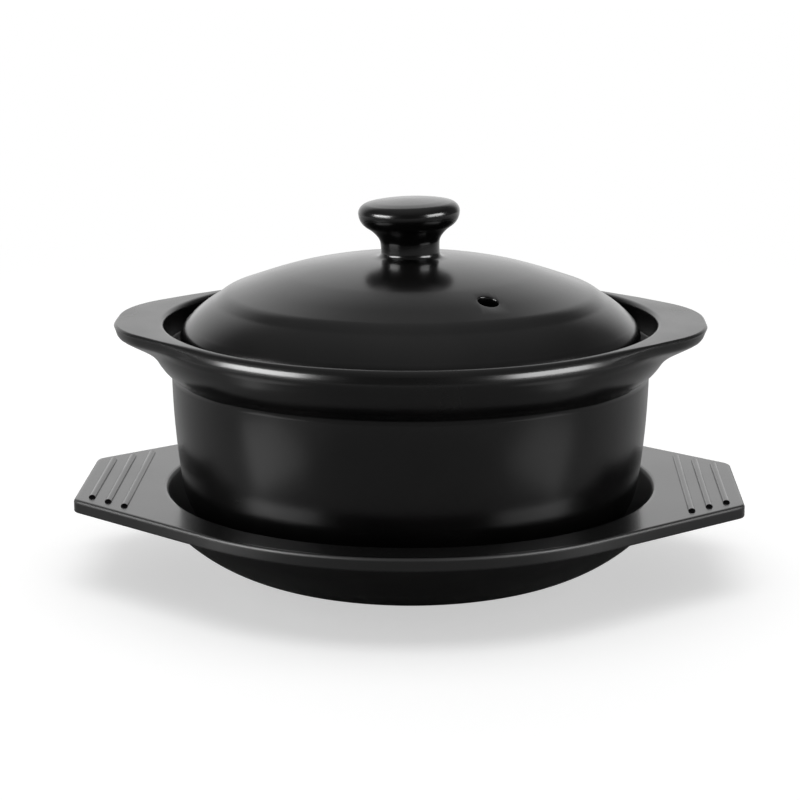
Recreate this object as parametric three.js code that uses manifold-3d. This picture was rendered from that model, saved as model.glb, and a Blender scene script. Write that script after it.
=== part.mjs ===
// Stoneware stew pot with an inset lid, on a moulded serving tray.
// Millimetres, +Z up. The origin is the centre of the tray's foot, on the table;
// +X points to one lug of the pot and to the matching tab of the tray.

import * as THREE from 'three';
import { mergeVertices } from 'three/addons/utils/BufferGeometryUtils.js';
import Module from 'manifold-3d';

const wasm = await Module();
wasm.setup();

// A bulge or hollow is the height of an arc over the straight line between its ends.

// Pot body
const BODY_RADIUS = 90.2;        // outside of the wall where the rim band starts
const BODY_TAPER = 2.9;          // how far the wall draws in from there to the bottom corner
const WALL_BULGE = 0.5;
const POT_WALL = 8.2;
const POT_FLOOR = 8;
const POT_HEIGHT = 91.7;         // foot to rim
const BOTTOM_CORNER_RISE = 32;   // height of the big rounded bottom corner
const BOTTOM_CORNER_BULGE = 9.7;
const CAVITY_CORNER_BULGE = 7.7;
const POT_FOOT_RADIUS = 50;
const POT_FOOT_WIDTH = 6;
const POT_FOOT_HEIGHT = 1.5;
const POT_FOOT_RECESS = 1;

// Rim band, gallery and lugs
const BAND_HEIGHT = 21.9;        // rim top down to the crease under the flared band
const BAND_BULGE = 0.8;
const CREASE_HEIGHT = 4.6;       // hollow run from the wall into the band
const CREASE_FLARE = 1.4;
const CREASE_HOLLOW = 0.5;
const GALLERY_WIDTH = 11;        // ledge that the lid rests on, out to the lip
const GALLERY_DEPTH = 10.4;      // rim top down to the ledge
const GALLERY_CHAMFER = 1;
const RIM_WIDTH = 8;             // lip to the rim's outside
const RIM_ROUND = 2.4;
const LIP_ROUND = 1.6;
const LUG_REACH = 10.5;          // lug end beyond the rim
const LUG_END_LENGTH = 38;
const LUG_CORNER_RADIUS = 8;
const LUG_EDGE = 4.3;            // thickness along the lug's free edges
const LUG_ROOT = 13.5;           // thickness at the band
const LUG_SLOPE_RUN = 15.5;      // distance from a free edge over which the lug thickens
const LUTING_GAP = 0.3;          // line between a lug and the band that it is luted to

// Lid
const LID_OVERLAP = 5;           // lid edge beyond the pot's mouth, over the ledge
const LID_HEIGHT = 34.4;         // ledge to the top of the dome
const LID_WALL = 5.5;
const LID_SHOULDER_INSET = 29;   // lid edge in to the soft shoulder ring
const LID_SHOULDER_DROP = 8.6;   // top of the dome down to that ring
const LID_CROWN_BULGE = 1.15;
const LID_FLANK_INSET = 3;       // lid edge in to where the flank turns into the edge
const LID_FLANK_HEIGHT = 10.2;   // of that turn, above the ledge
const LID_FLANK_BULGE = 2;
const LID_TURN_BULGE = 0.7;
const LID_EDGE_HEIGHT = 4;       // of the widest line, above the ledge
const LID_EDGE_INSET = 2;        // widest line in to the flat that rests on the ledge
const LID_EDGE_BULGE = 0.8;
const LID_SEAT_MARGIN = 0.6;     // that flat starts this far outside the mouth
const VENT_RADIUS = 3.75;
const VENT_X = 29.2;
const VENT_Y = -48.5;

// Knob, with its levels above the top of the dome
const KNOB_NECK_RADIUS = 11;
const KNOB_NECK_HEIGHT = 5;
const KNOB_NECK_HOLLOW = 1.2;
const KNOB_FOOT_FLARE = 1.3;
const KNOB_FOOT_HEIGHT = 2.2;
const KNOB_FOOT_HOLLOW = 0.4;
const KNOB_CAP_RADIUS = 19.1;
const KNOB_CAP_UNDER = 13.2;
const KNOB_CAP_UNDER_INSET = 2;
const KNOB_CAP_UNDER_BULGE = 0.7;
const KNOB_CAP_WIDEST = 17;
const KNOB_CAP_TOP_INSET = 7;    // cap edge in to where the rounded edge meets the top
const KNOB_CAP_EDGE_BULGE = 1.9;
const KNOB_CROWN = 0.6;          // rise of the cap's top
const KNOB_HEIGHT = 21.6;
const KNOB_LEAN = 2;             // degrees, as the knob was set on a little askew

// Serving tray
const PLATE_TOP = 33.5;
const PLATE_THICKNESS = 5;
const PLATE_EDGE_ROUND = 1.4;
const WELL_CLEARANCE = 5;        // pot's wall to the well, just under the plate's top
const WELL_EDGE_ROUND = 1.5;
const WELL_EDGE_BULGE = 0.4;
const WELL_BULGE = 7.8;
const WELL_FLOOR_MARGIN = 2.2;   // flat floor beyond the pot's foot
const FLANGE_WIDTH = 14.7;       // well to the plate's round outside
const TAB_REACH = 18;            // tab end beyond the round outside
const TAB_END_LENGTH = 64;
const TAB_CORNER_RADIUS = 6;
const TRAY_FLOOR = 4.2;
const TRAY_FOOT_MARGIN = 4;      // tray's foot beyond the pot's foot
const TRAY_FOOT_WIDTH = 7;
const TRAY_FOOT_HEIGHT = 1;
const BOWL_WALL = 5.9;           // measured level, just under the plate
const BOWL_BULGE = 5.5;
const RIB_COUNT = 3;
const RIB_WIDTH = 2.8;
const RIB_RISE = 1.1;
const RIB_PITCH = 6.85;
const RIB_EDGE_MARGIN = 6.8;     // outermost rib to the tab's end
const RIB_END_MARGIN = 9;        // rib's end to the tab's slanted side, along Y

// Facets
const ROUND_SEGMENTS = 48;
const KNOB_SEGMENTS = 32;
const VENT_SEGMENTS = 16;
const DISC_ARC_STEPS = 14;
const LONG_ARC_STEPS = 7;
const ARC_STEPS = 4;
const SHORT_ARC_STEPS = 3;
const PLATE_EDGE_STEPS = 2;
const RIB_SEGMENTS = 12;

// Levels and radii that follow from the sizes above
const trayFloorTop = TRAY_FOOT_HEIGHT + TRAY_FLOOR;
const potBase = trayFloorTop;
const rimTop = potBase + POT_HEIGHT;
const creaseLevel = rimTop - BAND_HEIGHT;
const bandStart = creaseLevel + CREASE_HEIGHT;
const cornerTop = potBase + POT_FOOT_HEIGHT + BOTTOM_CORNER_RISE;
const ledgeLevel = rimTop - GALLERY_DEPTH;
const domeTop = ledgeLevel + LID_HEIGHT;
const mouthRadius = BODY_RADIUS - POT_WALL;
const lipRadius = mouthRadius + GALLERY_WIDTH;
const rimRadius = lipRadius + RIM_WIDTH;
const cornerRadius = BODY_RADIUS - BODY_TAPER;
const lidRadius = mouthRadius + LID_OVERLAP;
const wellRadius = cornerRadius + WELL_CLEARANCE;
const plateRadius = wellRadius + FLANGE_WIDTH;
const plateBottom = PLATE_TOP - PLATE_THICKNESS;
const quarterRound = 1 - Math.SQRT1_2;

const point = (x, y) => new THREE.Vector2(x, y);

// Points along an arc, without its first one. A bulge above zero is on the right of the way travelled.
function arcTo(from, to, bulge, steps) {
  const chord = to.clone().sub(from);
  const half = chord.length() / 2;
  const radius = (half * half + bulge * bulge) / (2 * bulge);
  const right = point(chord.y, -chord.x).normalize();
  const centre = from.clone().add(to).multiplyScalar(0.5).addScaledVector(right, bulge - radius);
  const sweep = 4 * Math.atan(bulge / half);
  const points = [];
  for (let step = 1; step < steps; step += 1) {
    points.push(from.clone().rotateAround(centre, (sweep * step) / steps));
  }
  points.push(to.clone());
  return points;
}

// A profile from its corners; a corner given with a bulge is reached along an arc.
function profile(...corners) {
  const points = [];
  for (const [x, y, bulge, steps = ARC_STEPS] of corners) {
    const corner = point(x, y);
    if (bulge) {
      points.push(...arcTo(points[points.length - 1], corner, bulge, steps));
    } else {
      points.push(corner);
    }
  }
  return points;
}

// A closed solid from a geometry: shared vertices merged, empty triangles dropped, faces outwards
function solidFrom(geometry) {
  const bare = geometry.clone();
  for (const name of Object.keys(bare.attributes)) {
    if (name !== 'position') {
      bare.deleteAttribute(name);
    }
  }
  const merged = mergeVertices(bare);
  const places = merged.attributes.position;
  const index = merged.index.array;
  const [a, b, c] = [new THREE.Vector3(), new THREE.Vector3(), new THREE.Vector3()];
  const triangles = [];
  let volume = 0;
  for (let i = 0; i < index.length; i += 3) {
    const [p, q, r] = [index[i], index[i + 1], index[i + 2]];
    if (p === q || q === r || r === p) {
      continue;
    }
    triangles.push([p, q, r]);
    a.fromBufferAttribute(places, p);
    b.fromBufferAttribute(places, q);
    c.fromBufferAttribute(places, r);
    volume += a.dot(b.cross(c));
  }
  const facing = volume < 0 ? triangles.map((corners) => corners.reverse()) : triangles;
  return new wasm.Manifold(new wasm.Mesh({
    numProp: 3,
    vertProperties: new Float32Array(places.array),
    triVerts: new Uint32Array(facing.flat()),
  }));
}

// A solid turned round the Z axis from a half profile of (radius, height) points
function turned(points, segments = ROUND_SEGMENTS) {
  const geometry = new THREE.LatheGeometry(points, segments);
  geometry.rotateX(Math.PI / 2);
  return solidFrom(geometry);
}

function named(solid, name, material) {
  const data = solid.getMesh();
  const geometry = new THREE.BufferGeometry();
  geometry.setAttribute('position', new THREE.BufferAttribute(new Float32Array(data.vertProperties), 3));
  geometry.setIndex(new THREE.BufferAttribute(new Uint32Array(data.triVerts), 1));
  geometry.computeVertexNormals();
  const mesh = new THREE.Mesh(geometry, material);
  mesh.name = name;
  return mesh;
}

// Direction, from the middle, in which a tab's slanted side touches the disc that carries it
function tangentAngle(discRadius, tipX, tipLength) {
  const tipY = tipLength / 2;
  return Math.atan2(tipY, tipX) + Math.acos(discRadius / Math.hypot(tipX, tipY));
}

// Outline of a tab on the right of a disc, anticlockwise from where it leaves the disc to where it
// meets it again: slanted side, rounded corner, straight end, rounded corner, slanted side
function tabOutline(discRadius, tipX, tipLength, cornerRound) {
  const tangent = tangentAngle(discRadius, tipX, tipLength);
  const tipY = tipLength / 2;
  const setback = cornerRound * Math.tan(tangent / 2);
  const endOfTip = point(tipX, tipY - setback);
  const startOfSide = point(tipX - setback * Math.sin(tangent), tipY + setback * Math.cos(tangent));
  const touch = point(discRadius * Math.cos(tangent), discRadius * Math.sin(tangent));
  const cornerBulge = cornerRound * (1 - Math.cos(tangent / 2));
  const upper = [endOfTip, ...arcTo(endOfTip, startOfSide, cornerBulge, ARC_STEPS), touch];
  const lower = upper.map((p) => point(p.x, -p.y)).reverse();
  return [...lower, ...upper];
}

// Plan of a disc with a tab on its right and left, joined by the disc's own arcs
function wingedPlan(discRadius, tipX, tipLength, cornerRound) {
  const tangent = tangentAngle(discRadius, tipX, tipLength);
  const half = tabOutline(discRadius, tipX, tipLength, cornerRound);
  for (let step = 1; step < DISC_ARC_STEPS; step += 1) {
    const angle = tangent + ((Math.PI - 2 * tangent) * step) / DISC_ARC_STEPS;
    half.push(point(discRadius * Math.cos(angle), discRadius * Math.sin(angle)));
  }
  return [...half, ...half.map((p) => point(-p.x, -p.y))];
}

// Outside of the pot from its foot to the rim, as profile corners
function potOutside(grownBy) {
  return [
    [POT_FOOT_RADIUS + grownBy, potBase],
    [POT_FOOT_RADIUS + grownBy, potBase + POT_FOOT_HEIGHT],
    [cornerRadius + grownBy, cornerTop, BOTTOM_CORNER_BULGE, LONG_ARC_STEPS],
    [BODY_RADIUS + grownBy, creaseLevel, WALL_BULGE],
    [BODY_RADIUS + CREASE_FLARE + grownBy, bandStart, -CREASE_HOLLOW, SHORT_ARC_STEPS],
    [rimRadius + grownBy, rimTop - RIM_ROUND, BAND_BULGE],
  ];
}

// Thrown pot: foot ring, rounded corner, tapered wall, flared band, lip and gallery, cavity
function potBody() {
  const cavityFloor = potBase + POT_FLOOR;
  const footInside = POT_FOOT_RADIUS - POT_FOOT_WIDTH;
  return turned(profile(
    [0, potBase + POT_FOOT_RECESS],
    [footInside - POT_FOOT_RECESS, potBase + POT_FOOT_RECESS],
    [footInside, potBase],
    ...potOutside(0),
    [rimRadius - RIM_ROUND, rimTop, RIM_ROUND * quarterRound],
    [lipRadius + LIP_ROUND, rimTop],
    [lipRadius, rimTop - LIP_ROUND, LIP_ROUND * quarterRound, SHORT_ARC_STEPS],
    [lipRadius, ledgeLevel],
    [mouthRadius + GALLERY_CHAMFER / 2, ledgeLevel],
    [mouthRadius, ledgeLevel - GALLERY_CHAMFER],
    [cornerRadius - POT_WALL, cornerTop],
    [POT_FOOT_RADIUS, cavityFloor, -CAVITY_CORNER_BULGE, LONG_ARC_STEPS],
    [0, cavityFloor],
  ));
}

// All that lies above a lug's underside, which thickens inwards from the free edge at this direction
function aboveUnderside(angle, edgeDistance) {
  const clear = LUG_ROOT;
  const section = new THREE.Shape([
    point(0, rimTop - LUG_ROOT),
    point(edgeDistance - LUG_SLOPE_RUN, rimTop - LUG_ROOT),
    point(edgeDistance, rimTop - LUG_EDGE),
    point(edgeDistance + clear, rimTop - LUG_EDGE),
    point(edgeDistance + clear, rimTop + clear),
    point(0, rimTop + clear),
  ]);
  const length = 4 * edgeDistance;
  const geometry = new THREE.ExtrudeGeometry(section, { depth: length, bevelEnabled: false });
  geometry.translate(0, 0, -length / 2);
  geometry.rotateX(Math.PI / 2);
  geometry.rotateZ(angle);
  return solidFrom(geometry);
}

// Lug: a wedge flush with the rim, moulded apart and luted to the band; side is 1 right, -1 left
function lug(side) {
  const tipX = rimRadius + LUG_REACH;
  const facing = side > 0 ? 0 : Math.PI;
  const tangent = tangentAngle(rimRadius, tipX, LUG_END_LENGTH);
  const plan = new THREE.Shape(tabOutline(rimRadius, tipX, LUG_END_LENGTH, LUG_CORNER_RADIUS));
  const slab = new THREE.ExtrudeGeometry(plan, { depth: LUG_ROOT, bevelEnabled: false });
  slab.translate(0, 0, rimTop - LUG_ROOT);
  slab.rotateZ(facing);
  const pot = turned(profile(
    [0, potBase],
    ...potOutside(LUTING_GAP),
    [rimRadius + LUTING_GAP, rimTop + LUG_ROOT],
    [0, rimTop + LUG_ROOT],
  ));
  return solidFrom(slab)
    .intersect(aboveUnderside(facing, tipX))
    .intersect(aboveUnderside(facing + tangent, rimRadius))
    .intersect(aboveUnderside(facing - tangent, rimRadius))
    .subtract(pot);
}

// Lid: a low dome with a soft shoulder, a rounded edge that rests on the gallery, and a vent
function lidDome() {
  const shoulderRadius = lidRadius - LID_SHOULDER_INSET;
  const shoulderLevel = domeTop - LID_SHOULDER_DROP;
  const flankRadius = lidRadius - LID_FLANK_INSET;
  const knobSeat = KNOB_NECK_RADIUS + KNOB_FOOT_FLARE;
  const dome = turned(profile(
    [0, domeTop - LID_WALL],
    [knobSeat, domeTop - LID_WALL],
    [shoulderRadius, shoulderLevel - LID_WALL, -LID_CROWN_BULGE],
    [flankRadius - LID_WALL, ledgeLevel + LID_EDGE_HEIGHT, -LID_FLANK_BULGE],
    [mouthRadius + LID_SEAT_MARGIN, ledgeLevel],
    [lidRadius - LID_EDGE_INSET, ledgeLevel],
    [lidRadius, ledgeLevel + LID_EDGE_HEIGHT, LID_EDGE_BULGE, SHORT_ARC_STEPS],
    [flankRadius, ledgeLevel + LID_FLANK_HEIGHT, LID_TURN_BULGE, SHORT_ARC_STEPS],
    [shoulderRadius, shoulderLevel, LID_FLANK_BULGE, LONG_ARC_STEPS],
    [knobSeat, domeTop, LID_CROWN_BULGE],
    [0, domeTop],
  ));
  const vent = new THREE.CylinderGeometry(VENT_RADIUS, VENT_RADIUS, 2 * LID_HEIGHT, VENT_SEGMENTS);
  vent.rotateX(Math.PI / 2);
  vent.translate(VENT_X, VENT_Y, domeTop);
  return dome.subtract(solidFrom(vent));
}

// Knob: a round cap on a hollow-sided neck, trimmed flat where it is luted to the dome
function lidKnob() {
  const footRadius = KNOB_NECK_RADIUS + KNOB_FOOT_FLARE;
  const outline = profile(
    [0, -KNOB_FOOT_HEIGHT],
    [footRadius, -KNOB_FOOT_HEIGHT],
    [footRadius, 0],
    [KNOB_NECK_RADIUS, KNOB_FOOT_HEIGHT, -KNOB_FOOT_HOLLOW, SHORT_ARC_STEPS],
    [KNOB_NECK_RADIUS, KNOB_NECK_HEIGHT],
    [KNOB_CAP_RADIUS - KNOB_CAP_UNDER_INSET, KNOB_CAP_UNDER, -KNOB_NECK_HOLLOW],
    [KNOB_CAP_RADIUS, KNOB_CAP_WIDEST, KNOB_CAP_UNDER_BULGE, SHORT_ARC_STEPS],
    [KNOB_CAP_RADIUS - KNOB_CAP_TOP_INSET, KNOB_HEIGHT - KNOB_CROWN, KNOB_CAP_EDGE_BULGE],
    [0, KNOB_HEIGHT],
  );
  const leaning = new THREE.LatheGeometry(outline, KNOB_SEGMENTS);
  leaning.rotateX(Math.PI / 2);
  leaning.rotateY(-THREE.MathUtils.degToRad(KNOB_LEAN));
  leaning.translate(0, 0, domeTop);
  const reach = 2 * (KNOB_CAP_RADIUS + KNOB_HEIGHT);
  const aboveDome = new THREE.BoxGeometry(reach, reach, reach);
  aboveDome.translate(0, 0, domeTop + reach / 2);
  return solidFrom(leaning).intersect(solidFrom(aboveDome));
}

// Raised ribs across both tabs, parallel to the tab ends: half-round bars sunk into the plate
function tabRibs(tipX) {
  const tangent = tangentAngle(plateRadius, tipX, TAB_END_LENGTH);
  const ribs = [];
  for (let number = 0; number < RIB_COUNT; number += 1) {
    const x = tipX - RIB_EDGE_MARGIN - number * RIB_PITCH;
    const slantedSide = (plateRadius - x * Math.cos(tangent)) / Math.sin(tangent);
    const straight = 2 * (slantedSide - RIB_END_MARGIN) - RIB_WIDTH;
    for (const side of [-1, 1]) {
      const bar = new THREE.CapsuleGeometry(RIB_WIDTH / 2, straight, SHORT_ARC_STEPS, RIB_SEGMENTS);
      bar.scale(1, 1, (2 * RIB_RISE) / RIB_WIDTH);
      bar.translate(side * x, 0, PLATE_TOP);
      ribs.push(solidFrom(bar));
    }
  }
  return ribs;
}

// Moulded tray: winged plate, round bowl under it on a foot ring, well for the pot, ribbed tabs
function servingTray() {
  const tipX = plateRadius + TAB_REACH;
  const plan = wingedPlan(plateRadius, tipX, TAB_END_LENGTH, TAB_CORNER_RADIUS);
  const plate = new THREE.ExtrudeGeometry(new THREE.Shape(plan), {
    depth: PLATE_THICKNESS - 2 * PLATE_EDGE_ROUND,
    bevelThickness: PLATE_EDGE_ROUND,
    bevelSize: PLATE_EDGE_ROUND,
    bevelOffset: -PLATE_EDGE_ROUND,
    bevelSegments: PLATE_EDGE_STEPS,
  });
  plate.translate(0, 0, plateBottom + PLATE_EDGE_ROUND);
  const plateMiddle = (plateBottom + PLATE_TOP) / 2;
  const footRadius = POT_FOOT_RADIUS + TRAY_FOOT_MARGIN;
  const bowl = turned(profile(
    [0, TRAY_FOOT_HEIGHT],
    [footRadius - TRAY_FOOT_WIDTH, TRAY_FOOT_HEIGHT],
    [footRadius - TRAY_FOOT_WIDTH, 0],
    [footRadius, 0],
    [footRadius, TRAY_FOOT_HEIGHT],
    [wellRadius + BOWL_WALL, plateBottom, BOWL_BULGE, LONG_ARC_STEPS],
    [wellRadius + BOWL_WALL, plateMiddle],
    [0, plateMiddle],
  ));
  const aboveTray = PLATE_TOP + PLATE_THICKNESS;
  const well = turned(profile(
    [0, trayFloorTop],
    [POT_FOOT_RADIUS + WELL_FLOOR_MARGIN, trayFloorTop],
    [wellRadius, PLATE_TOP - WELL_EDGE_ROUND, WELL_BULGE, LONG_ARC_STEPS],
    [wellRadius + WELL_EDGE_ROUND, PLATE_TOP, -WELL_EDGE_BULGE, SHORT_ARC_STEPS],
    [wellRadius + WELL_EDGE_ROUND, aboveTray],
    [0, aboveTray],
  ));
  let tray = solidFrom(plate).add(bowl);
  for (const rib of tabRibs(tipX)) {
    tray = tray.add(rib);
  }
  return tray.subtract(well);
}

const potGlaze = new THREE.MeshStandardMaterial({ color: 0x141414, roughness: 0.4, metalness: 0 });
const lidGlaze = new THREE.MeshStandardMaterial({ color: 0x151515, roughness: 0.38, metalness: 0 });
const trayPlastic = new THREE.MeshStandardMaterial({ color: 0x191919, roughness: 0.42, metalness: 0 });

// Assembly: the lid rests in the pot, and the pot stands in the tray
const lid = new THREE.Group();
lid.add(named(lidDome(), 'lid_dome', lidGlaze));
lid.add(named(lidKnob(), 'lid_knob', lidGlaze));

const pot = new THREE.Group();
pot.add(named(potBody(), 'pot_body', potGlaze));
pot.add(named(lug(-1), 'left_lug', potGlaze));
pot.add(named(lug(1), 'right_lug', potGlaze));
pot.add(lid);

const stewPot = new THREE.Group();
stewPot.add(named(servingTray(), 'tray', trayPlastic));
stewPot.add(pot);

export default stewPot;
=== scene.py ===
# Stoneware stew pot with an inset lid, standing in the well of a moulded serving tray.
# Finished meshes are in metres, +Z up; outlines are drawn in millimetres, as (radius, height).

from math import acos, atan, atan2, copysign, cos, degrees, hypot, pi, radians, sin, sqrt
from types import SimpleNamespace

import bmesh
import bpy
from mathutils import Matrix, Vector


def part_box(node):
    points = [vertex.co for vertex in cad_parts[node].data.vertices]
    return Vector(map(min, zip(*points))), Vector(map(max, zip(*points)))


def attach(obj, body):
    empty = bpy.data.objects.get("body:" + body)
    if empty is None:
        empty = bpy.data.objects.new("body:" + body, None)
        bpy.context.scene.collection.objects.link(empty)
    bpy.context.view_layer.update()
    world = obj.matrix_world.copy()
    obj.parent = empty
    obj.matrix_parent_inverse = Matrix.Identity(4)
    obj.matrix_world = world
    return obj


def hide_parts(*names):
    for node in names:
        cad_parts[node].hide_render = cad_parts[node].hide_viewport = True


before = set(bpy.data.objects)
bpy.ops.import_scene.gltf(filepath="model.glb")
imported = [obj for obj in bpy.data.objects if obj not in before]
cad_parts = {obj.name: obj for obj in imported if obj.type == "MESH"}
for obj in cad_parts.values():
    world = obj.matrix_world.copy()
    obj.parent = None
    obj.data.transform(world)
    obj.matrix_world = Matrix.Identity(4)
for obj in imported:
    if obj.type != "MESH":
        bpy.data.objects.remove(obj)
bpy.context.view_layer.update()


# Serving tray
# One moulding of satin black plastic: a flat plate with a tab at each end, and under it a round
# bowl on a foot ring, whose well holds the pot. Three ribs across each tab give the fingers grip.

METRES = 0.001              # in one millimetre
HOLD = 0.25                 # straight runs get a point this near to each end, so that they shade flat
ROUNDING_STEPS = 8
TURNING_STEPS = 360
TAB_ROOT = radians(14)      # over which a disc's edge turns into its tab's


def on_run(start, end, bow, share):
    """Point at a share of the way from start to end; the run stands out by bow, to the right of the way."""
    chord = end - start
    if bow == 0:
        return start + chord * share
    half = chord.length / 2
    radius = (half * half + bow * bow) / (2 * bow)
    right = Vector((chord.y, -chord.x)).normalized()
    centre = (start + end) / 2 + right * (bow - radius)
    sweep = 4 * atan(bow / half)
    return centre + Matrix.Rotation(sweep * share, 2) @ (start - centre)


def outline(stations, facet=2.0):
    """Points along a wall, from stations of (radius, height, rounding, bow): how far each side of its
    corner is rounded off, and how far the run that leads to it is bowed."""
    full = [(*station, 0, 0)[:4] for station in stations]
    points = []
    for before, after in zip(full, full[1:]):
        start, end = Vector(before[:2]), Vector(after[:2])
        rounding, bow = after[2:]
        length = (end - start).length
        first = before[2] / length
        last = 1 - rounding / length
        if bow:
            steps = max(4, round(length * (last - first) / facet))
            shares = [first + (last - first) * step / steps for step in range(steps + 1)]
        elif length * (last - first) > 2 * HOLD:
            shares = [first, first + HOLD / length, last - HOLD / length, last]
        else:
            shares = [first, last]
        run = [on_run(start, end, bow, share) for share in shares]
        if before[2]:
            left = points[-1]
            for step in range(1, ROUNDING_STEPS):
                share = step / ROUNDING_STEPS
                points.append(left.lerp(start, share).lerp(start.lerp(run[0], share), share))
        elif points:
            run = run[1:]
        points += run
    return points


def turned(points):
    """A closed wall, turned round the Z axis from an outline whose ends lie on it."""
    shell = bmesh.new()
    row = [shell.verts.new((point.x, 0, point.y)) for point in points]
    for near, far in zip(row, row[1:]):
        shell.edges.new((near, far))
    bmesh.ops.spin(shell, geom=shell.verts[:] + shell.edges[:], cent=(0, 0, 0), axis=(0, 0, 1),
                   angle=2 * pi, steps=TURNING_STEPS, use_merge=True)
    bmesh.ops.remove_doubles(shell, verts=shell.verts, dist=0.001)
    bmesh.ops.recalc_face_normals(shell, faces=shell.faces)
    for face in shell.faces:
        face.smooth = True
    return shell


def tab_plan(disc, tip, tip_length, corner, **sizes):
    """Sizes of the two tabs on a disc, with the direction in which a tab's slanted side touches the disc
    and the middle of the rounding at its corner. Among the other sizes, fixed is the radius inside which
    nothing moves, edge the width of the rim's rounding, tight the share of it that is left on a tab, and
    crowding pairs even directions with those that they move to, in degrees."""
    side = atan2(tip_length / 2, tip) + acos(disc / hypot(tip, tip_length / 2))
    centre_x = tip - corner
    centre = Vector((centre_x, (disc - corner - centre_x * cos(side)) / sin(side)))
    return SimpleNamespace(disc=disc, tip=tip, corner=corner, side=side, centre=centre, **sizes)


def edge_reach(tabs, angle, inset):
    """Distance from the middle to the plate's edge in this direction, with the edge moved in by inset."""
    side, centre = tabs.side, tabs.centre
    if angle >= side:
        return tabs.disc - inset
    corner = tabs.corner - inset
    if angle < atan2(centre.y, tabs.tip - inset):
        return (tabs.tip - inset) / cos(angle)
    if angle > atan2(centre.y + corner * sin(side), centre.x + corner * cos(side)):
        return (tabs.disc - inset) / cos(angle - side)
    along = centre.dot(Vector((cos(angle), sin(angle))))
    return along + sqrt(along * along - centre.length_squared + corner * corner)


def soft_max(one, other, blend):
    """The larger of two lengths, eased from one to the other where they differ by less than blend."""
    ease = max(0, blend - abs(one - other))
    return max(one, other) + (ease * ease / (4 * blend) if blend > 0 else 0)


def under_reach(tabs, angle, reach, depth):
    """Distance to a tab's flank or underside, this deep under its edge, or to the wall where that stands
    further out. The underside rises to the tip, and the flanks stand steep before they turn in."""
    tip_run = hypot(depth * tabs.under_slope, tabs.under_edge) - tabs.under_edge
    below = depth - tabs.flank
    turned_in = (below + hypot(below, tabs.under_edge)) / 2
    inset = depth * tabs.draft + turned_in * tabs.under_slope
    if inset >= tabs.corner:
        return reach
    out = -soft_max(-(tabs.tip - tip_run) / cos(angle), -edge_reach(tabs, angle, inset), 1.2)
    return soft_max(out, reach, min(tabs.hollow, depth))


def pull_tabs(shell, tabs):
    """Pulls a turned rim out into a tab on the right and left, and crowds its points at the tabs' corners.
    The rounding along the edge tightens from the rim's to the tab's own."""
    for vert in shell.verts:
        reach = hypot(vert.co.x, vert.co.y)
        turn = abs(degrees(atan2(vert.co.y, vert.co.x)))
        turn = min(turn, 180 - turn)
        for (even, crowded), (next_even, next_crowded) in zip(tabs.crowding, tabs.crowding[1:]):
            if turn <= next_even:
                share = (turn - even) / (next_even - even)
                angle = radians(crowded + share * (next_crowded - crowded))
                break
        onto_tab = min(1, max(0, (tabs.side - angle) / TAB_ROOT))
        if reach > tabs.fixed and tabs.under_slope and vert.co.z < tabs.edge_level:
            depth = tabs.edge_level - vert.co.z + tabs.thinned * onto_tab
            reach = under_reach(tabs, angle, reach, depth)
        elif reach > tabs.fixed:
            tight = 1 + (tabs.tight - 1) * onto_tab
            if reach > tabs.disc - tabs.edge:
                reach = edge_reach(tabs, angle, (tabs.disc - reach) * tight)
            else:
                share = (reach - tabs.fixed) / (tabs.disc - tabs.edge - tabs.fixed)
                reach = tabs.fixed + share * (edge_reach(tabs, angle, tabs.edge * tight) - tabs.fixed)
            if tight < 1:
                vert.co.z = tabs.top - (tabs.top - vert.co.z) * tight
        vert.co.x = copysign(reach * cos(angle), vert.co.x)
        vert.co.y = copysign(reach * sin(angle), vert.co.y)


def finished(name, shell, material):
    """The scene's object from a shell that was shaped in millimetres."""
    bmesh.ops.scale(shell, vec=(METRES, METRES, METRES), verts=shell.verts)
    mesh = bpy.data.meshes.new(name)
    shell.to_mesh(mesh)
    shell.free()
    mesh.materials.append(material)
    piece = bpy.data.objects.new(name, mesh)
    bpy.context.scene.collection.objects.link(piece)
    return piece


def add_node(tree, kind, inputs, **settings):
    """A shader node; an input given another node's output is linked to it, and any other is set."""
    node = tree.nodes.new(kind)
    for name, value in settings.items():
        setattr(node, name, value)
    for name, value in inputs.items():
        if isinstance(value, bpy.types.NodeSocket):
            tree.links.new(value, node.inputs[name])
        else:
            node.inputs[name].default_value = value
    return node


def new_finish(name):
    """An empty node material, with its tree and its output node."""
    material = bpy.data.materials.new(name)
    material.use_nodes = True
    tree = material.node_tree
    tree.nodes.clear()
    return material, tree, tree.nodes.new("ShaderNodeOutputMaterial")


PLATE_THICKNESS = 5
RIB_RISE = 1.1
RIB_WIDTH = 2.6
RIB_PITCH = 6.85
RIB_TO_TIP = 6.8
RIB_TO_SIDE = 9
RIB_COUNT = 3
RIB_FACETS = 48

tray_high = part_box("tray")[1] / METRES
plate_top = tray_high.z - RIB_RISE
plate_bottom = plate_top - PLATE_THICKNESS
tray_tabs = tab_plan(
    disc=tray_high.y, tip=tray_high.x, tip_length=64, corner=6,
    fixed=99.8, edge=1.5, tight=1, under_slope=0,
    crowding=((0, 0), (8, 11), (36, 18), (66, 50), (90, 90)))

tray_shell = turned(outline([
    (0, 1), (47, 1, 0.4), (47, 0, 0.4), (54, 0, 0.5), (54, 1, 0.4),
    (98.2, plate_bottom, 1.5, 5.5),
    (tray_tabs.disc, plate_bottom, 0.7), (tray_tabs.disc, plate_top, 1.4),
    (92.6, plate_top, 1.6),
    (52.2, 5.2, 3, -7.8), (0, 5.2)]))
pull_tabs(tray_shell, tray_tabs)

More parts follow.
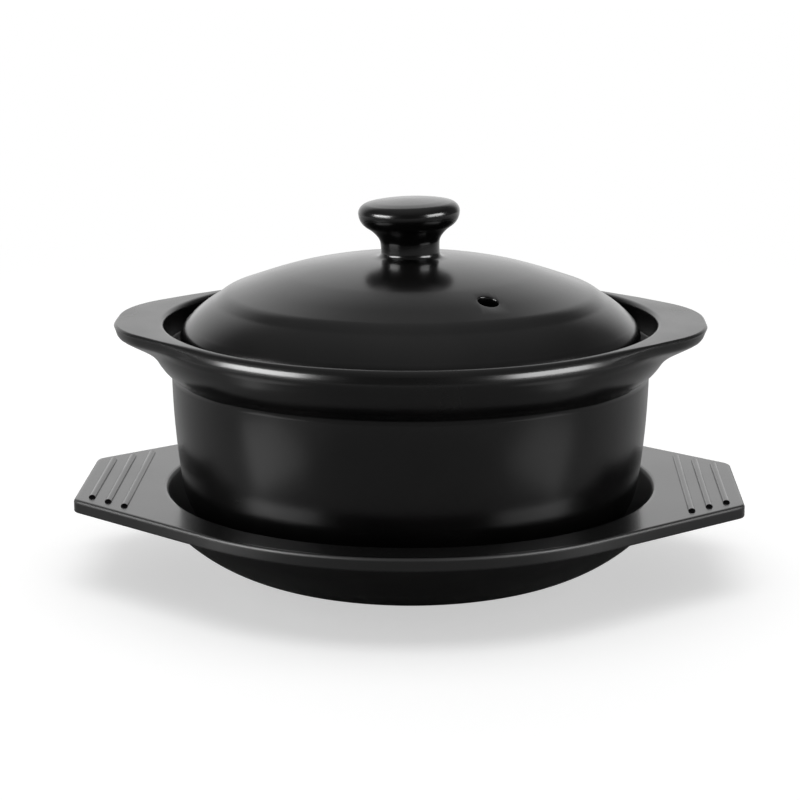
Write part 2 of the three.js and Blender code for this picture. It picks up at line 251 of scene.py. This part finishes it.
for number in range(RIB_COUNT):
    rib_x = tray_tabs.tip - RIB_TO_TIP - number * RIB_PITCH
    rib_half = (tray_tabs.disc - rib_x * cos(tray_tabs.side)) / sin(tray_tabs.side) - RIB_TO_SIDE
    for hand in (-1, 1):
        place = (Matrix.Translation((hand * rib_x, 0, plate_top))
                 @ Matrix.Diagonal((RIB_WIDTH / 2, rib_half, RIB_RISE, 1))
                 @ Matrix.Rotation(pi / 2, 4, "X"))
        bar = bmesh.ops.create_cone(tray_shell, cap_ends=True, segments=RIB_FACETS, radius1=1, radius2=1,
                                    depth=2, matrix=place)
        for face in {face for vert in bar["verts"] for face in vert.link_faces}:
            face.smooth = len(face.verts) == 4
        for edge in {edge for vert in bar["verts"] for edge in vert.link_edges}:
            edge.smooth = edge.verts[0].co.y * edge.verts[1].co.y < 0

# The mould is polished on the flat top and the ribs, less so on upright faces, and dull on the roundings.
POLISHED = 0.2
UPRIGHT = 0.32
DULL = 0.5

tray_plastic, tree, surface = new_finish("satin_black_plastic")
place = add_node(tree, "ShaderNodeTexCoord", {})
grain = add_node(tree, "ShaderNodeTexNoise",
                 {"Vector": place.outputs["Object"], "Scale": 1500.0, "Detail": 3.0})
flow = add_node(tree, "ShaderNodeTexNoise",
                {"Vector": place.outputs["Object"], "Scale": 35.0, "Detail": 4.0})
shade = add_node(tree, "ShaderNodeValToRGB", {"Fac": flow.outputs["Fac"]})
shade.color_ramp.elements[0].position = 0.3
shade.color_ramp.elements[0].color = (0.0034, 0.0034, 0.0036, 1)
shade.color_ramp.elements[1].position = 0.7
shade.color_ramp.elements[1].color = (0.0056, 0.0055, 0.0055, 1)
facing = add_node(tree, "ShaderNodeSeparateXYZ", {"Vector": place.outputs["Normal"]})
up_edge = add_node(tree, "ShaderNodeMapRange",
                   {"Value": facing.outputs["Z"], "From Min": 0.04, "From Max": 0.2,
                    "To Min": UPRIGHT, "To Max": DULL})
onto_top = add_node(tree, "ShaderNodeMapRange",
                    {"Value": facing.outputs["Z"], "From Min": 0.8, "From Max": 0.97,
                     "To Min": DULL, "To Max": POLISHED})
plate_polish = add_node(tree, "ShaderNodeMath",
                        {0: up_edge.outputs["Result"], 1: onto_top.outputs["Result"]}, operation="MINIMUM")
height = add_node(tree, "ShaderNodeSeparateXYZ", {"Vector": place.outputs["Object"]})
onto_ribs = add_node(tree, "ShaderNodeMapRange",
                     {"Value": height.outputs["Z"], "From Min": plate_top * METRES,
                      "From Max": (plate_top + 0.1) * METRES, "To Min": DULL, "To Max": POLISHED})
tray_polish = add_node(tree, "ShaderNodeMath",
                       {0: plate_polish.outputs["Value"], 1: onto_ribs.outputs["Result"]},
                       operation="MINIMUM")
dulling = add_node(tree, "ShaderNodeMapRange",
                   {"Value": flow.outputs["Fac"], "From Min": 0.3, "From Max": 0.7,
                    "To Min": -0.02, "To Max": 0.02})
roughness = add_node(tree, "ShaderNodeMath",
                     {0: tray_polish.outputs["Value"], 1: dulling.outputs["Result"]}, operation="ADD")
texture = add_node(tree, "ShaderNodeBump", {"Strength": 0.5, "Distance": 0.00001,
                                            "Height": grain.outputs["Fac"]})
plastic = add_node(tree, "ShaderNodeBsdfPrincipled",
                   {"Base Color": shade.outputs["Color"], "Roughness": roughness.outputs["Value"],
                    "IOR": 1.37, "Normal": texture.outputs["Normal"]})
tree.links.new(plastic.outputs["BSDF"], surface.inputs["Surface"])

tray = finished("moulded_tray", tray_shell, tray_plastic)
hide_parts("tray")
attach(tray, "tray")


# Pot with its lugs
# Stoneware, thrown with a foot ring, a rounded bottom and a flared band under the rim; two lugs are
# luted on flush with the rim. One coat of satin black glaze runs over all but the foot ring.

pot_low, pot_high = [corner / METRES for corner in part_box("pot_body")]
lug_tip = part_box("right_lug")[1].x / METRES
rim_top = pot_high.z
foot_level = pot_low.z
RIM_RADIUS = 98.4
RIM_ROLL = 3.4              # height of the rim's rolled edge, which tightens on the lugs

pot_shell = turned(outline([
    (0, foot_level + 1), (43, foot_level + 1, 0.4), (44, foot_level, 0.4),
    (50, foot_level, 0.6), (50, foot_level + 1.5, 0.6),
    (87.3, 38.7, 4, 9.7), (90.2, 74.6, 1.6, 0.5), (91.2, 78.6, 1.0, -0.4),
    (RIM_RADIUS, rim_top - 4.3, 0.5, 1.6), (RIM_RADIUS - 0.6, rim_top - 1.9, 0.35, 0.09),
    (RIM_RADIUS - 1.8, rim_top, 1.5), (93, rim_top, 1.9),
    (93, 86.5, 0.8), (82.1, 86.5, 0.9), (79.1, 38.7, 4), (50, 13.2, 4, -7.7), (0, 13.2)], facet=1.05))
lugs = tab_plan(
    disc=RIM_RADIUS, tip=lug_tip, tip_length=47, corner=47,
    fixed=94.95, edge=3.31, tight=0.35, top=rim_top, edge_level=rim_top - RIM_ROLL,
    thinned=1.6,                # by which the underside lies higher on a lug than along the rim
    flank=3, draft=0.3,         # depth of the steep sides, and their slope
    under_slope=1.65,           # run of the underside for each millimetre of its depth
    under_edge=0.8, hollow=3,   # easing where it starts, and where it meets the wall
    crowding=((0, 0), (30, 15), (64, 42), (90, 90)))
pull_tabs(pot_shell, lugs)

# The kiln leaves faint clouds in the glaze where it lies thicker or thinner, and fine ripples and pits.
kiln_glaze = bpy.data.node_groups.new("kiln_glaze", "ShaderNodeTree")
for name, kind in (("Cloud Scale", "Float"), ("Thick", "Color"), ("Thin", "Color"),
                   ("Gloss", "Float"), ("Dull", "Float")):
    kiln_glaze.interface.new_socket(name, in_out="INPUT", socket_type="NodeSocket" + kind)
for name, kind in (("Colour", "Color"), ("Roughness", "Float"), ("Height", "Float"), ("Specks", "Float")):
    kiln_glaze.interface.new_socket(name, in_out="OUTPUT", socket_type="NodeSocket" + kind)
given = kiln_glaze.nodes.new("NodeGroupInput")
place = add_node(kiln_glaze, "ShaderNodeTexCoord", {})
clouds = add_node(kiln_glaze, "ShaderNodeTexNoise",
                  {"Vector": place.outputs["Object"], "Scale": given.outputs["Cloud Scale"], "Detail": 4.0})
ripples = add_node(kiln_glaze, "ShaderNodeTexNoise",
                   {"Vector": place.outputs["Object"], "Scale": 230.0, "Detail": 1.0})
specks = add_node(kiln_glaze, "ShaderNodeTexNoise",
                  {"Vector": place.outputs["Object"], "Scale": 1200.0, "Detail": 2.0})
thinning = add_node(kiln_glaze, "ShaderNodeMapRange",
                    {"Value": clouds.outputs["Fac"], "From Min": 0.35, "From Max": 0.65})
tint = add_node(kiln_glaze, "ShaderNodeMix",
                {0: thinning.outputs["Result"], 6: given.outputs["Thick"], 7: given.outputs["Thin"]},
                data_type="RGBA")
sheen = add_node(kiln_glaze, "ShaderNodeMapRange",
                 {"Value": clouds.outputs["Fac"], "From Min": 0.3, "From Max": 0.7,
                  "To Min": given.outputs["Gloss"], "To Max": given.outputs["Dull"]})
relief = add_node(kiln_glaze, "ShaderNodeMath",
                  {0: specks.outputs["Fac"], 1: 0.12, 2: ripples.outputs["Fac"]}, operation="MULTIPLY_ADD")
add_node(kiln_glaze, "NodeGroupOutput",
         {"Colour": tint.outputs[2], "Roughness": sheen.outputs["Result"],
          "Height": relief.outputs["Value"], "Specks": specks.outputs["Fac"]})


def glaze_finish(name, gloss, dull, bare_level):
    """Satin black glaze over stoneware, wiped off the clay below bare_level, in millimetres."""
    material, tree, surface = new_finish(name)
    glaze = add_node(tree, "ShaderNodeGroup", {}, node_tree=kiln_glaze)
    for setting, value in (("Cloud Scale", 32.0), ("Thick", (0.0028, 0.0028, 0.0029, 1)),
                           ("Thin", (0.0048, 0.0046, 0.0045, 1)), ("Gloss", gloss), ("Dull", dull)):
        glaze.inputs[setting].default_value = value
    place = add_node(tree, "ShaderNodeTexCoord", {})
    height = add_node(tree, "ShaderNodeSeparateXYZ", {"Vector": place.outputs["Object"]})
    bare = add_node(tree, "ShaderNodeMapRange",
                    {"Value": height.outputs["Z"], "From Min": (bare_level - 0.15) * METRES,
                     "From Max": (bare_level + 0.15) * METRES, "To Min": 1.0, "To Max": 0.0})
    clay = add_node(tree, "ShaderNodeValToRGB", {"Fac": glaze.outputs["Specks"]})
    clay.color_ramp.elements[0].position = 0.3
    clay.color_ramp.elements[0].color = (0.10, 0.075, 0.055, 1)
    clay.color_ramp.elements[1].position = 0.65
    clay.color_ramp.elements[1].color = (0.20, 0.16, 0.125, 1)
    colour = add_node(tree, "ShaderNodeMix",
                      {0: bare.outputs["Result"], 6: glaze.outputs["Colour"], 7: clay.outputs["Color"]},
                      data_type="RGBA")
    rough = add_node(tree, "ShaderNodeMath",
                     {0: bare.outputs["Result"], 1: 0.5, 2: glaze.outputs["Roughness"]},
                     operation="MULTIPLY_ADD")
    texture = add_node(tree, "ShaderNodeBump", {"Strength": 0.6, "Distance": 0.00001,
                                                "Height": glaze.outputs["Height"]})
    coat = add_node(tree, "ShaderNodeBsdfPrincipled",
                    {"Base Color": colour.outputs[2], "Roughness": rough.outputs["Value"],
                     "IOR": 1.3, "Normal": texture.outputs["Normal"]})
    tree.links.new(coat.outputs["BSDF"], surface.inputs["Surface"])
    return material


pot = finished("glazed_pot", pot_shell, glaze_finish("pot_glaze_black", 0.22, 0.28, foot_level + 0.9))
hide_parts("pot_body", "left_lug", "right_lug")
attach(pot, "pot")


# Lid with its knob
# Stoneware again: a low dome with a soft shoulder and a rounded edge that rests on the pot's gallery,
# one steam vent, and a knob luted to the crown a little askew. The glaze is wiped off the seat.

VENT_RADIUS = 3.75
VENT_LIP = 0.5
VENT_PATCH = 6.4            # faces this near to the vent's middle make way for it
VENT_LIP_STEPS = 5
VENT_EASINGS = 4            # rounds of smoothing that spread the points round the vent
KNOB_LEAN = radians(2)
KNOB_LEAN_RISE = 4          # the lean builds up over this height
vent_middle = Vector((29.2, -48.5))

lid_low, lid_high = [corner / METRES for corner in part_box("lid_dome")]
seat_level = lid_low.z
lid_radius = lid_high.x
crown = lid_high.z
lid_points = outline([
    (0, crown - 5.5), (56, 107.3, 2, -1.7), (78.5, 91.5, 2, -1.6), (82.6, seat_level, 0.5),
    (84.9, seat_level, 0.6), (lid_radius, 90.9, 0, 0.8), (84, 97, 0.8, 0.63), (74, 104.9, 1.0, 0.5),
    (69.8, 107.85, 1.5, 0.08), (54, 113.5, 7), (14, crown - 0.49, 0, 1.2),
    (11, crown - 0.1, 2), (11, crown + 4.2, 1.5), (12.5, crown + 8.2, 0.8, -0.387),
    (15.9, crown + 11.2, 0.8, -0.18), (19.1, crown + 16.6, 0, 0.82), (18.55, crown + 18.75, 1, 0.1),
    (17, crown + 20.05, 1), (13, crown + 20.85, 1, 0.03), (0, crown + 21.6, 0, 0.15)], facet=1.3)
lid_shell = turned(lid_points)


def height_on(points, radius):
    """Height of an outline's wall at this radius."""
    for near, far in zip(points, points[1:]):
        if min(near.x, far.x) <= radius <= max(near.x, far.x) and near.x != far.x:
            return near.y + (radius - near.x) / (far.x - near.x) * (far.y - near.y)


def set_on_wall(verts, wall):
    """Puts points on the lid's inside or outside wall, straight above or below where they are."""
    for vert in verts:
        vert.co.z = height_on(wall, vert.co.xy.length)


def ring_on_wall(verts, wall, reach):
    """Spreads points evenly on a ring round the vent, on the lid's inside or outside wall."""
    turn = {vert: atan2(vert.co.y - vent_middle.y, vert.co.x - vent_middle.x) for vert in verts}
    for number, vert in enumerate(sorted(verts, key=turn.get)):
        angle = 2 * pi * number / len(verts) - pi
        vert.co.xy = vent_middle + reach * Vector((cos(angle), sin(angle)))
    set_on_wall(verts, wall)


# The vent: its faces go, the ring of points left round it closes in to a circle, and the lip is rounded.
dome_from, dome_to = 30, 80
seat_number = min(range(len(lid_points)), key=lambda number: lid_points[number].y)
inside_dome = [point for point in lid_points[:seat_number] if dome_from < point.x < dome_to]
outside_dome = [point for point in lid_points[seat_number:] if dome_from < point.x < dome_to]
bmesh.ops.delete(lid_shell, context="FACES", geom=[
    face for face in lid_shell.faces
    if (face.calc_center_median().xy - vent_middle).length < VENT_PATCH])
rings = {}
for side, wall in (("inside", inside_dome), ("outside", outside_dome)):
    on_side = {vert for vert in lid_shell.verts
               if (vert.co.xy - vent_middle).length < 2.2 * VENT_PATCH
               and abs(vert.co.z - height_on(wall, vert.co.xy.length)) < 1}
    rings[side] = [edge for edge in lid_shell.edges
                   if edge.is_boundary and edge.verts[0] in on_side]
    rim = {vert for edge in rings[side] for vert in edge.verts}
    ring_on_wall(rim, wall, VENT_RADIUS + VENT_LIP)
    around = list(on_side - rim)
    for easing in range(VENT_EASINGS):
        bmesh.ops.smooth_vert(lid_shell, verts=around, factor=0.5, use_axis_x=True, use_axis_y=True)
        set_on_wall(around, wall)
for step in range(1, VENT_LIP_STEPS + 1):
    angle = step / VENT_LIP_STEPS * pi / 2
    grown = bmesh.ops.extrude_edge_only(lid_shell, edges=rings["outside"])["geom"]
    rings["outside"] = [part for part in grown if isinstance(part, bmesh.types.BMEdge) and part.is_boundary]
    rim = {vert for edge in rings["outside"] for vert in edge.verts}
    ring_on_wall(rim, outside_dome, VENT_RADIUS + VENT_LIP * (1 - sin(angle)))
    bmesh.ops.translate(lid_shell, verts=list(rim), vec=(0, 0, -VENT_LIP * (1 - cos(angle))))
bmesh.ops.bridge_loops(lid_shell, edges=rings["inside"] + rings["outside"])
bmesh.ops.recalc_face_normals(lid_shell, faces=lid_shell.faces)
for face in lid_shell.faces:
    face.smooth = True

knob_foot = Vector((0, 0, crown))
for vert in lid_shell.verts:
    rise = vert.co.z - crown
    if rise > 0:
        lean = Matrix.Rotation(-KNOB_LEAN * min(1, rise / KNOB_LEAN_RISE), 3, "Y")
        vert.co = knob_foot + lean @ (vert.co - knob_foot)

lid = finished("glazed_lid", lid_shell, glaze_finish("lid_glaze_black", 0.18, 0.24, seat_level + 0.25))
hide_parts("lid_dome", "lid_knob")
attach(lid, "lid")


# Studio
# A white floor that runs out into a white background, a pale wall behind and a lit ceiling above. A soft
# box to each side of the camera gleams in the rim and the knob, and two lit cards lie on the floor in
# front of the tabs, whose soft strips show in the pot's wall.

FLOOR_RADIUS = 3.0
FLOOR_LIFT = 0.55           # by which the camera sees the floor near the pot paler than it is lit
floor_shell = bmesh.new()
bmesh.ops.create_circle(floor_shell, cap_ends=True, segments=64, radius=FLOOR_RADIUS / METRES)
floor_paint, tree, surface = new_finish("white_floor")
place = add_node(tree, "ShaderNodeTexCoord", {})
distance = add_node(tree, "ShaderNodeVectorMath", {0: place.outputs["Object"]}, operation="LENGTH")
far_off = add_node(tree, "ShaderNodeMapRange",
                   {"Value": distance.outputs["Value"], "From Min": 0.3, "From Max": 0.8},
                   interpolation_type="SMOOTHSTEP")
ray = add_node(tree, "ShaderNodeLightPath", {})
mirrored = add_node(tree, "ShaderNodeMath",
                    {0: ray.outputs["Is Glossy Ray"], 1: ray.outputs["Is Transmission Ray"]},
                    operation="ADD")
seen = add_node(tree, "ShaderNodeMath",
                {0: ray.outputs["Is Camera Ray"], 1: mirrored.outputs["Value"]}, operation="ADD",
                use_clamp=True)
fading = add_node(tree, "ShaderNodeMath",
                  {0: seen.outputs["Value"], 1: far_off.outputs["Result"]}, operation="MULTIPLY")
paint = add_node(tree, "ShaderNodeBsdfDiffuse", {"Color": (0.6, 0.6, 0.6, 1)})
lift = add_node(tree, "ShaderNodeMath",
                {0: ray.outputs["Is Camera Ray"], 1: FLOOR_LIFT}, operation="MULTIPLY")
lifted = add_node(tree, "ShaderNodeEmission", {"Color": (1, 1, 1, 1), "Strength": lift.outputs["Value"]})
near_by = add_node(tree, "ShaderNodeAddShader", {0: paint.outputs["BSDF"], 1: lifted.outputs["Emission"]})
white = add_node(tree, "ShaderNodeEmission", {"Color": (1, 1, 1, 1), "Strength": 1.0})
blend = add_node(tree, "ShaderNodeMixShader",
                 {0: fading.outputs["Value"], 1: near_by.outputs["Shader"], 2: white.outputs["Emission"]})
tree.links.new(blend.outputs["Shader"], surface.inputs["Surface"])
floor = finished("floor", floor_shell, floor_paint)

world = bpy.data.worlds.new("studio")
world.use_nodes = True
tree = world.node_tree
tree.nodes.clear()
place = add_node(tree, "ShaderNodeTexCoord", {})
toward = add_node(tree, "ShaderNodeSeparateXYZ", {"Vector": place.outputs["Generated"]})
room = add_node(tree, "ShaderNodeMapRange",
                {"Value": toward.outputs["Y"], "From Min": -0.4, "From Max": 0.4,
                 "To Min": 0.1, "To Max": 0.25})
ceiling = add_node(tree, "ShaderNodeMapRange",
                   {"Value": toward.outputs["Z"], "From Min": 0.6, "From Max": 1.0,
                    "To Min": 0.2, "To Max": 0.75})
facing = add_node(tree, "ShaderNodeVectorMath",
                  {0: place.outputs["Generated"], 1: (-0.16, 0.987, 0.0)}, operation="DOT_PRODUCT")
back_wall = add_node(tree, "ShaderNodeMapRange",
                     {"Value": facing.outputs["Value"], "From Min": 0.5, "From Max": 0.88,
                      "To Min": 0.0, "To Max": 1.25}, interpolation_type="SMOOTHSTEP")
ray = add_node(tree, "ShaderNodeLightPath", {})
level = room.outputs["Result"]
for brighter in (ceiling.outputs["Result"], back_wall.outputs["Result"], ray.outputs["Is Camera Ray"]):
    level = add_node(tree, "ShaderNodeMath", {0: level, 1: brighter}, operation="MAXIMUM").outputs["Value"]
walls = add_node(tree, "ShaderNodeBackground", {"Color": (1, 1, 1, 1), "Strength": level})
add_node(tree, "ShaderNodeOutputWorld", {"Surface": walls.outputs["Background"]})
bpy.context.scene.world = world


def soft_box(name, position, aim, size, brightness):
    """A rectangular lamp at position, turned to aim, whose face shows this brightness."""
    lamp = bpy.data.lights.new(name, "AREA")
    lamp.shape = "RECTANGLE"
    lamp.size, lamp.size_y = size
    lamp.energy = 4 * size[0] * size[1] * brightness
    box = bpy.data.objects.new(name, lamp)
    box.location = position
    box.rotation_euler = (Vector(aim) - Vector(position)).to_track_quat("-Z", "Y").to_euler()
    box.visible_camera = False
    bpy.context.scene.collection.objects.link(box)
    return box


BOX_DISTANCE = 1.5
BOX_TURN = radians(65)      # from the camera's side
BOX_HEIGHT = 0.62
BOX_SIZE = (1.1, 0.52)
for name, hand, brightness in (("left_box", -1, 34), ("right_box", 1, 25)):
    box = soft_box(name, (hand * BOX_DISTANCE * sin(BOX_TURN), -BOX_DISTANCE * cos(BOX_TURN), BOX_HEIGHT),
                   (0, 0, BOX_HEIGHT), BOX_SIZE, brightness)
    box.visible_diffuse = False
CARD_ASIDE = 0.23
CARD_FORWARD = 0.14
CARD_HEIGHT = 0.002
CARD_SIZE = (0.16, 0.11)
for name, hand, brightness in (("left_card", -1, 1.7), ("right_card", 1, 1.1)):
    soft_box(name, (hand * CARD_ASIDE, -CARD_FORWARD, CARD_HEIGHT), (hand * CARD_ASIDE, -CARD_FORWARD, 1),
             CARD_SIZE, brightness)
fill = soft_box("ceiling_fill", (0, 0, 2.2), (0, 0, 0), (2, 2), 1.35)
fill.visible_glossy = False

scene = bpy.context.scene
scene.view_settings.view_transform = "Standard"
lens = bpy.data.cameras.new("camera")
lens.sensor_width = 36
lens.lens = 117
camera = bpy.data.objects.new("camera", lens)
camera.location = (0.02738, -0.96565, 0.28266)
camera.rotation_euler = (radians(90 - 12.685), 0, radians(1.858))
scene.collection.objects.link(camera)
scene.camera = camera
